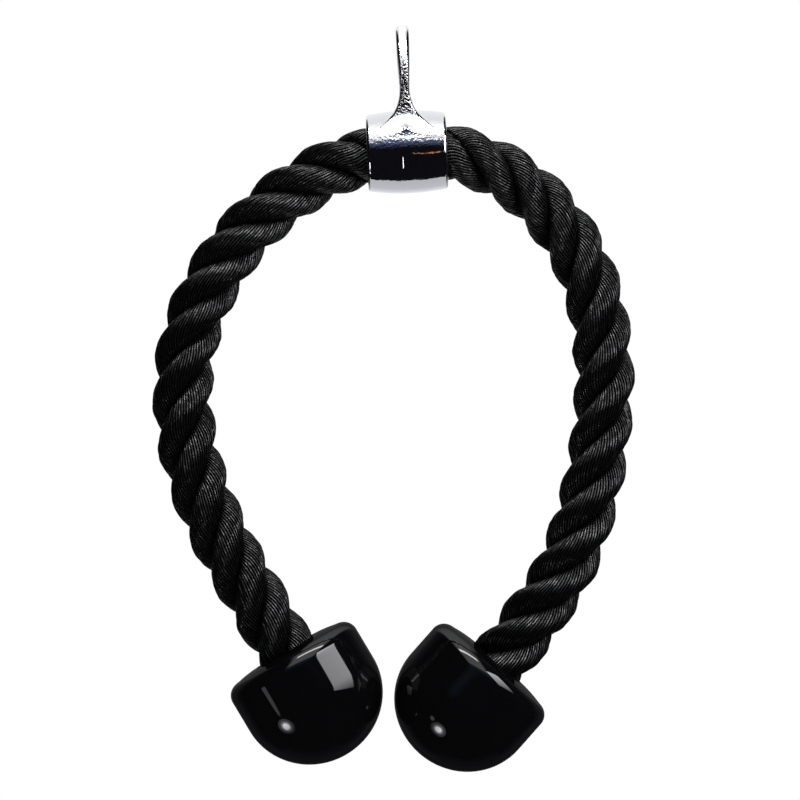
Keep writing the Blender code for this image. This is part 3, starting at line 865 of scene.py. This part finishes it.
chrome, tree, shader = material("chrome")
where = tree.add("ShaderNodeTexCoord", {}, {}, output="Object")
place_x, place_y, place_z = tree.split(where)
off_middle = place_x.math("ABSOLUTE")
fall = (COLLAR_AXIS_Z + EYE_HEIGHT - WEB_FLARE_DROP - place_z).math("MAXIMUM", 0.0)
rest = (WEB_FLARE_RADIUS ** 2 - fall * fall).math("MAXIMUM", LEAST_SQUARED_REST).math("SQRT")
past_web = off_middle - (EYE_NECK_THICKNESS / 2 + WEB_FLARE_RADIUS - rest)
on_web = 1.0 - (past_web + WEB_ROUGH_INSET).above(0.0, WEB_ROUGH_EDGE)
on_web = on_web * place_z.between(*WEB_ROUGH)
on_foot = place_z.between(*FOOT_ROUGH)
# Painted shade: a thin dark line along the corner between the web and the collar.
off_crease = (past_web - CREASE_OUT).math("ABSOLUTE")
crease_shade = (1.0 - off_crease.above(CREASE_HALF_WIDTH, CREASE_EDGE)) * place_z.between(*CREASE)
print("nodes that say where the casting is rough:", len(chrome.node_tree.nodes))

# %% [markdown]
# ## Toe, punch mark and plate
#
# Under the web's middle the collar swells into a low toe, which draws the
# dark reflection up to a point. Its height is a square, so its slope grows
# evenly from nothing and the reflection bends without a break. It stops at a
# roof that drops to both sides. A short upright mark is punched in the front.
# All of it is less than half a millimetre high and shows in the reflections
# alone, so it goes into the Bump node with the peel and a few slow waves.

# %% Chrome material
MARK_PLACE = (-0.0026, -0.0591)
MARK_SIZE = (0.0010, 0.0034)
MARK_DEPTH = 0.00030
MARK_FADE = 0.001
TOE_START = 0.0058
TOE_ROOF = 0.0056
TOE_PEAK = 0.0044
TOE_REACH = 0.0065
TOE_STEEPNESS = 70.0
TOE_END = (0.0132, 0.0058)
PEEL_SCALE = 760.0
WAVE_SCALE = 150.0
WEB_PEEL = 0.00095
FOOT_PEEL = 0.00023
POLISHED_PEEL = 0.00004
WAVE_HEIGHT = 0.00012
PLATES = ((0.93, 0.94, 0.95, 1.0), (0.96, 0.96, 0.97, 1.0))
# Colour of the painted shade line in the web's corner.
CREASE_SHADE_COLOUR = (0.02, 0.02, 0.03, 1.0)
CHROME_ROUGHNESS = 0.02
PEEL_ROUGHNESS = 0.06

off_x = (place_x - MARK_PLACE[0]) / MARK_SIZE[0]
off_z = (place_z - MARK_PLACE[1]) / MARK_SIZE[1]
dent = (1.0 - off_x * off_x - off_z * off_z).math("MAXIMUM", 0.0)
dent = dent * (1.0 - place_y.above(0.0, MARK_FADE))
above_axis = place_z - COLLAR_AXIS_Z
roof = (off_middle / -TOE_REACH).math("EXPONENT") * TOE_PEAK + TOE_ROOF
rise = (above_axis.math("MINIMUM", roof) - TOE_START).math("MAXIMUM", 0.0)
toe = rise * rise * TOE_STEEPNESS * (1.0 - above_axis.above(*TOE_END))
peel = tree.noise(where, PEEL_SCALE, detail=1.5, roughness=0.6)
waves = tree.noise(where, WAVE_SCALE, detail=1.0)
peel_height = on_web * WEB_PEEL + on_foot * FOOT_PEEL + POLISHED_PEEL
height = peel * peel_height + waves * WAVE_HEIGHT + toe - dent * MARK_DEPTH
# The plate's colour carries the painted shade line in the web's corner.
feed(tree, shader, Base_Color=tree.mix(crease_shade, tree.mix(waves, *PLATES), CREASE_SHADE_COLOUR),
     Metallic=1.0, Roughness=CHROME_ROUGHNESS + peel * PEEL_ROUGHNESS,
     Normal=tree.bump(height, 1.0))
dress([casting], chrome)

# %% [markdown]
# ## The balls
#
# A ball is turned: one profile carried round an axis. From its mouth it has a
# slightly crowned top, a generous round edge, a straight skirt and a dome a
# little flatter than half a sphere. Inside, a throat for the rope opens into
# the chamber that holds the ferrule.

# %% Ball surface
BALL_RADIUS = 0.0345
BALL_HEIGHT = 0.0575
BALL_SKIRT = 0.0242
BALL_EDGE_ROUND = 0.0068
BALL_CROWN = 0.0014
BALL_MOUTH_RADIUS = 0.0155
BALL_MOUTH_ROUND = 0.0008
CHAMBER_RADIUS = 0.0167
CHAMBER_TOP = -0.0137
CHAMBER_FLOOR = -0.0293
BALL_SEGMENTS = 192
DOME_STEPS = 48
SKIRT_STEPS = 8
EDGE_STEPS = 20
CROWN_STEPS = 11
LIP_STEPS = 6
SHARP_ANGLE = math.radians(40.0)


def arc(centre, radius, start, stop, steps):
    """Points (radius, height) on an arc between two angles in degrees, both ends included."""
    angle = np.radians(np.linspace(start, stop, steps + 1))
    return np.stack([centre[0] + radius * np.cos(angle),
                     centre[1] + radius * np.sin(angle)], axis=1)


def ball_profile():
    """Half a section through a ball, from the dome's pole up the outside and down the inside.

    The dome is the quarter ellipse (R sin a, -skirt - depth * cos a), the
    crown the parabola -crown * p^2 from the lip to the edge.
    """
    a = np.radians(np.linspace(0.0, 90.0, DOME_STEPS + 1))[1:-1]
    dome = np.stack([BALL_RADIUS * np.sin(a),
                     -BALL_SKIRT - (BALL_HEIGHT - BALL_SKIRT) * np.cos(a)], axis=1)
    skirt_top = BALL_CROWN + BALL_EDGE_ROUND
    skirt = np.stack([np.full(SKIRT_STEPS + 1, BALL_RADIUS),
                      np.linspace(-BALL_SKIRT, -skirt_top, SKIRT_STEPS + 1)], axis=1)
    flat_end, lip_end = BALL_RADIUS - BALL_EDGE_ROUND, BALL_MOUTH_RADIUS + BALL_MOUTH_ROUND
    lean = math.degrees(math.atan(2.0 * BALL_CROWN / (flat_end - lip_end)))
    edge = arc((flat_end, -skirt_top), BALL_EDGE_ROUND, 0.0, 90.0 - lean, EDGE_STEPS)[1:]
    p = np.linspace(1.0, 0.0, CROWN_STEPS + 1)[1:]
    crown = np.stack([lip_end + p * (flat_end - lip_end), -BALL_CROWN * p ** 2], axis=1)
    lip = arc((lip_end, -BALL_MOUTH_ROUND), BALL_MOUTH_ROUND, 90.0, 180.0, LIP_STEPS)[1:]
    inside = np.array([(BALL_MOUTH_RADIUS, CHAMBER_TOP), (CHAMBER_RADIUS, CHAMBER_TOP),
                       (CHAMBER_RADIUS, CHAMBER_FLOOR)])
    return np.vstack([dome, skirt, edge, crown, lip, inside])


def turned(name, profile, segments, bottom, top):
    """A closed shape turned about Z, whose profile ends in points on the axis at both heights."""
    angle = 2.0 * math.pi * np.arange(segments) / segments
    radius, height = profile[:, :1], profile[:, 1:]
    rings = np.stack([radius * np.cos(angle), radius * np.sin(angle),
                      height + 0.0 * angle], axis=-1)
    poles = np.array([[0.0, 0.0, bottom], [0.0, 0.0, top]])
    faces, _, _ = tube_faces(len(profile), segments)
    rim = np.arange(segments)
    hub = rings.shape[0] * segments
    caps = np.vstack([cap_faces(hub, rim, outward=False),
                      cap_faces(hub + 1, rim + (len(profile) - 1) * segments, outward=True)])
    return add_mesh(name, np.vstack([rings.reshape(-1, 3), poles]), faces, caps)


balls = {}
for name in SIDE:
    ball = turned("ball_" + name, ball_profile(), BALL_SEGMENTS, -BALL_HEIGHT, CHAMBER_FLOOR)
    mouth = Matrix.Translation(rope_at(BALL_MOUTH[name]))
    ball.data.transform(mouth @ Matrix.Rotation(BALL_TILT[name], 4, "Y"))
    ball.data.set_sharp_from_angle(angle=SHARP_ANGLE)
    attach(ball, name + "_lower")
    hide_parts("end_ball_" + name)
    balls[name] = ball
print("ball faces:", len(balls["left"].data.polygons))

# %% [markdown]
# ## Gloss black moulding
#
# The balls are a hard black plastic straight from a polished mould, so they
# need a clean shape more than a rich texture: a trace of flow in the gloss, a
# few scuffs and the finest waves of a cooled moulding. A glossy ball mirrors
# the white studio most where it is seen at a slant. The photograph keeps
# those rims black, as black card beside the ball would, and here that shade
# is painted: at a slant the gloss gives way to a matt black.

# %% Ball material
BALL_BLACKS = ((0.0018, 0.0018, 0.0021, 1.0), (0.0030, 0.0030, 0.0034, 1.0))
# Matt black of the painted shade on the rims seen at a slant.
RIM_SHADE_BLACK = (0.0020, 0.0020, 0.0024, 1.0)
RIM_SLANT = (0.52, 0.40)
RIM_SHADE_SHARE = 0.93
BALL_IOR = 1.6
FLOW_SCALE = 45.0
FLOW_HEIGHT = 0.00012
SCUFF_SCALE = 700.0
SCUFFED = (0.66, 0.10)
BALL_ROUGHNESS = 0.03
FLOW_ROUGHNESS = 0.03
SCUFF_ROUGHNESS = 0.12

gloss, tree, shader = material("gloss_black")
where = tree.add("ShaderNodeTexCoord", {}, {}, output="Object")
flow = tree.noise(where, FLOW_SCALE, detail=1.0)
scuffs = tree.noise(where, SCUFF_SCALE, detail=4.0, roughness=0.7).above(*SCUFFED)
feed(tree, shader, Base_Color=tree.mix(flow, *BALL_BLACKS), IOR=BALL_IOR,
     Roughness=BALL_ROUGHNESS + flow * FLOW_ROUGHNESS + scuffs * SCUFF_ROUGHNESS,
     Normal=tree.bump(flow, FLOW_HEIGHT))
# Painted shade: seen at a slant, the gloss gives way to matt black.
slant = tree.add("ShaderNodeLayerWeight", {}, {"Blend": 0.5}, output="Facing")
layered(tree, shader, 1.0 - slant.above(*RIM_SLANT) * RIM_SHADE_SHARE, RIM_SHADE_BLACK)
dress(balls.values(), gloss)

# %% [markdown]
# ## Ferrules
#
# A steel band pressed on each rope end keeps the ball on. It is out of sight
# inside the ball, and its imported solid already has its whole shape, so it
# only gets its finish: dull zinc plate with the spangle of fine crystals.

# %% Ferrule material
ZINCS = ((0.50, 0.51, 0.52, 1.0), (0.62, 0.63, 0.64, 1.0))
SPANGLE_SCALE = 900.0
ZINC_ROUGHNESS = 0.30
SPANGLE_ROUGHNESS = 0.15

zinc, tree, shader = material("zinc_plate")
where = tree.add("ShaderNodeTexCoord", {}, {}, output="Object")
spangle = tree.add("ShaderNodeTexVoronoi", {}, {"Vector": where, "Scale": SPANGLE_SCALE})
feed(tree, shader, Base_Color=tree.mix(spangle, *ZINCS), Metallic=1.0,
     Roughness=ZINC_ROUGHNESS + spangle * SPANGLE_ROUGHNESS)
dress([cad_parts["end_ferrule_" + name] for name in SIDE], zinc)

# %% [markdown]
# ## Light
#
# The photograph is a pack shot: white all round, with the dark of the room
# behind the camera. Chrome is only what surrounds it, so the surroundings are
# made first. A reflection that stays near the middle sees a strip that runs
# once round the collar: pale from below, dark in front, a blue grey fringe
# and then white above. A reflection to the side sees a backdrop, dark towards
# the camera and white away from it. To the camera the world is plain white,
# and to matt surfaces an even soft light.

# %% World
WHITE = (1.0, 1.0, 1.0, 1.0)
AMBIENT = (0.45, 0.45, 0.45, 1.0)
STRIP = (
    (0.000, (0.62, 0.62, 0.65)), (0.060, (0.25, 0.25, 0.27)), (0.140, (0.05, 0.05, 0.06)),
    (0.220, (0.004, 0.004, 0.005)), (0.522, (0.003, 0.003, 0.005)), (0.560, (0.06, 0.08, 0.14)),
    (0.582, (0.11, 0.14, 0.24)), (0.597, (1.00, 1.00, 1.00)), (0.726, (1.00, 1.00, 1.00)),
    (0.785, (0.76, 0.77, 0.79)), (1.000, (0.94, 0.94, 0.95)),
)
BACKDROP = (
    (0.40, (0.003, 0.003, 0.004)), (0.62, (0.05, 0.05, 0.06)), (0.76, (0.17, 0.17, 0.18)),
    (0.92, (0.52, 0.52, 0.54)), (1.00, (0.90, 0.90, 0.91)),
)
STRIP_EDGE = (0.42, 0.12)

world = bpy.data.worlds.new("studio")
bpy.context.scene.world = world
world.use_nodes = True
tree = Tree(world.node_tree)
look_x, look_y, look_z = tree.split(tree.add("ShaderNodeTexCoord", {}, {}))
is_camera = tree.add("ShaderNodeLightPath", {}, {}, output="Is Camera Ray")
is_glossy = tree.add("ShaderNodeLightPath", {}, {}, output="Is Glossy Ray")
turn = look_z.math("ARCTAN2", 0.0 - look_y) / (2.0 * math.pi) + 0.5
strip = tree.add("ShaderNodeValToRGB", {"stops": STRIP}, {"Fac": turn})
backdrop = tree.add("ShaderNodeValToRGB", {"stops": BACKDROP}, {"Fac": look_y})
room = tree.mix(look_x.math("ABSOLUTE").above(*STRIP_EDGE), strip, backdrop)
seen = tree.mix(is_camera, tree.mix(is_glossy, AMBIENT, room), WHITE)
tree.link(seen, world.node_tree.nodes["Background"].inputs["Color"])
print("nodes in the world:", len(world.node_tree.nodes))

# %% [markdown]
# ## Softboxes and cards
#
# A lamp's shape shows in whatever it is reflected in. The strip overhead
# lights the rope and draws the bright line on each ball's top edge. The box
# at the side is the window on the left ball, and brighter at its top. Small
# cards close to the casting put one patch each in the chrome, as an assistant
# would hold them up: on the ring and the web's foot, under the collar, on the
# eye's crown, in the punch mark, and a thin warm line. Below stands a small
# round lamp that makes the soft spots on the balls. Discs of several sizes in
# one place give it a bright middle and a blurred edge, and a second, fainter
# one draws the streak beside it.

# %% Softboxes
def softbox(name, place, aim, width, height, radiance, colour=(1.0, 1.0, 1.0), shape="RECTANGLE"):
    """A flat lamp facing a point. Its power is radiance * pi * the area of its rectangle."""
    data = bpy.data.lights.new(name, "AREA")
    data.shape = shape
    data.size, data.size_y = width, height
    data.energy = radiance * math.pi * width * height
    data.color = colour
    lamp = bpy.data.objects.new(name, data)
    bpy.context.scene.collection.objects.link(lamp)
    facing = np.array(aim) - np.array(place)
    facing = facing / np.linalg.norm(facing)
    level = np.cross(facing, (0.0, 0.0, 1.0))
    level /= np.linalg.norm(level)
    upright = np.cross(level, facing)
    aimed = Matrix((level, upright, -facing)).transposed().to_4x4()
    lamp.matrix_world = Matrix.Translation(place) @ aimed
    lamp.visible_camera = False
    return lamp


def grade(lamp, across, up):
    """Let a lamp's light grow evenly over its face: 1 + across * (u - 1/2) + up * (v - 1/2)."""
    lamp.data.use_nodes = True
    tree = Tree(lamp.data.node_tree)
    u, v, _ = tree.split(tree.add("ShaderNodeNewGeometry", {}, {}, output="Parametric"))
    strength = 1.0 + (u - 0.5) * across + (v - 0.5) * up
    tree.link(strength, tree.tree.nodes["Emission"].inputs["Strength"])


# %% Large lamps
EYE = (0.0, 0.0, -0.020)
BETWEEN_BALLS = (-0.020, 0.0, -0.320)
COOL = (0.96, 0.96, 1.0)
softbox("strip_light", (0.0, -0.49, 1.05), EYE, 1.10, 0.20, 10.0)
side_softbox = softbox("side_softbox", (0.78, -0.56, 0.11), BETWEEN_BALLS, 0.72, 0.60, 4.5, COOL)
grade(side_softbox, across=-0.35, up=1.35)
print("lamps so far:", len(bpy.data.lights))

# %% Cards round the casting
RING_FRONT = (0.0, 0.0, 0.020)
UNDER_COLLAR = (0.0, 0.140, -0.115)
UPWARDS = (0.0, 0.1401, 0.0)  # a little askew, so that the card has a level side
MARK = (-0.002, -0.019, -0.059)
COLLAR_RIGHT = (0.030, 0.0, -0.0545)
BLUISH = (0.93, 0.95, 1.0)
WARM = (1.0, 0.42, 0.18)
softbox("front_card", (0.0, -0.060, 0.020), RING_FRONT, 0.026, 0.080, 1.0)
softbox("under_card", UNDER_COLLAR, UPWARDS, 0.100, 0.304, 0.50, BLUISH)
softbox("crown_card", (0.0, 0.005, 0.060), EYE, 0.010, 0.130, 1.0)
softbox("mark_card", (-0.075, -0.087, -0.1295), MARK, 0.040, 0.040, 2.0)
softbox("warm_card", (0.030, -0.118, -0.070), COLLAR_RIGHT, 0.038, 0.003, 0.6, WARM)
print("lamps so far:", len(bpy.data.lights))

# %% Low lamps
LOW_LAMP = (-0.347, -0.233, -0.655)
LOW_LAMP_BEAM = math.radians(40.0)
LOW_LAMP_DISCS = ((0.095, 0.36), (0.145, 0.10), (0.220, 0.03))
LOW_LAMP_COLOUR = (0.95, 0.95, 1.0)
STREAK_LAMP = (-0.466, -0.289, -0.533)
STREAK_COLOUR = (0.92, 0.93, 1.0)
LEFT_SKIRT = (-0.055, 0.0, -0.310)
for ring, (size, radiance) in enumerate(LOW_LAMP_DISCS):
    lamp = softbox(f"low_lamp_{ring}", LOW_LAMP, BETWEEN_BALLS, size, size, radiance,
                   LOW_LAMP_COLOUR, "DISK")
    lamp.data.spread = LOW_LAMP_BEAM
softbox("streak_lamp", STREAK_LAMP, LEFT_SKIRT, 0.070, 0.070, 0.55, STREAK_COLOUR, "DISK")
print("lamps in all:", len(bpy.data.lights))

# %% [markdown]
# ## Floor
#
# The attachment hangs, so the floor lies well below the balls. It is a thin
# white sheet that lets most of the background through and has a little light
# of its own, so it stays white from every side, and its matt part still
# catches the shadow. Chrome would show the sheet's edge, so reflections leave
# it out.

# %% Floor
FLOOR_Z = -0.80
FLOOR_CORNERS = ((-2.5, -2.5), (2.5, -2.5), (2.5, 2.2), (-2.5, 2.2))
FLOOR_COVER = 0.35
FLOOR_GLOW = 0.55
PAPER = (0.90, 0.90, 0.90, 1.0)
PAPER_ROUGHNESS = 0.9

corners = np.array([(*corner, FLOOR_Z) for corner in FLOOR_CORNERS])
floor = add_mesh("floor", corners, np.arange(4)[None])
floor.visible_glossy = False
paper, tree, shader = material("white_paper")
feed(tree, shader, Base_Color=PAPER, Roughness=PAPER_ROUGHNESS, Alpha=FLOOR_COVER,
     Emission_Color=WHITE, Emission_Strength=FLOOR_GLOW)
dress([floor], paper)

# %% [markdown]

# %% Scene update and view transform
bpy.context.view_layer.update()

scene = bpy.context.scene
scene.view_settings.view_transform = "Standard"
